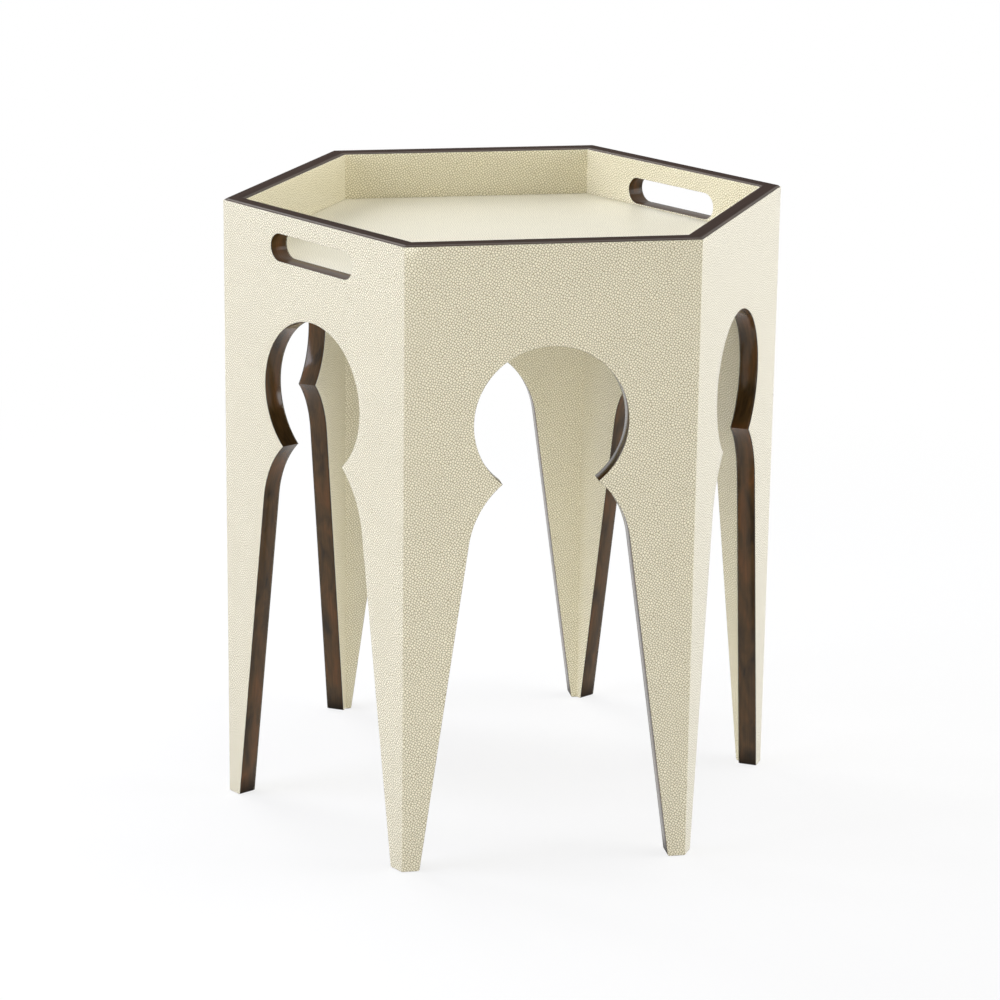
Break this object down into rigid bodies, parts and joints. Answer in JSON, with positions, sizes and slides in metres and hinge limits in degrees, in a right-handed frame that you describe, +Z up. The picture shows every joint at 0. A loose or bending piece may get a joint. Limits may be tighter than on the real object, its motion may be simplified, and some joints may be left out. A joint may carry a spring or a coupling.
{
  "type": "accent table",
  "caption": "Hexagonal Moorish accent table: arched sides with tapered legs, ivory shagreen faces, dark wood edges and a sunken tray top with hand slots.",
  "frame": {"origin": "on the floor below the middle of the table", "axes": "+Z up, +X towards the middle of a side with a hand slot, +Y towards a corner"},
  "size_m": [0.44, 0.508, 0.558],
  "materials": {
    "shagreen": "matt, fine pebbled grain, ivory",
    "walnut": "dark walnut stain under satin lacquer",
    "stained_wood": "dark walnut stain, matt",
    "spline_wood": "bare hardwood",
    "screw_steel": "zinc plated"
  },
  "bodies": {
    "root": {"side_board_right": "walnut", "outer_covering_right": "shagreen", "inner_covering_right": "shagreen", "tray_cleat_right": "stained_wood", "side_board_back_right": "walnut", "outer_covering_back_right": "shagreen", "inner_covering_back_right": "shagreen", "tray_cleat_back_right": "stained_wood", "side_board_back_left": "walnut", "outer_covering_back_left": "shagreen", "inner_covering_back_left": "shagreen", "tray_cleat_back_left": "stained_wood", "side_board_left": "walnut", "outer_covering_left": "shagreen", "inner_covering_left": "shagreen", "tray_cleat_left": "stained_wood", "side_board_front_left": "walnut", "outer_covering_front_left": "shagreen", "inner_covering_front_left": "shagreen", "tray_cleat_front_left": "stained_wood", "side_board_front_right": "walnut", "outer_covering_front_right": "shagreen", "inner_covering_front_right": "shagreen", "tray_cleat_front_right": "stained_wood", "corner_spline_back_right": "spline_wood", "corner_spline_back": "spline_wood", "corner_spline_back_left": "spline_wood", "corner_spline_front_left": "spline_wood", "corner_spline_front": "spline_wood", "corner_spline_front_right": "spline_wood", "tray_board": "stained_wood", "tray_covering": "shagreen", "side_screws": "screw_steel", "tray_screws": "screw_steel"}
  },
  "joints": []
}
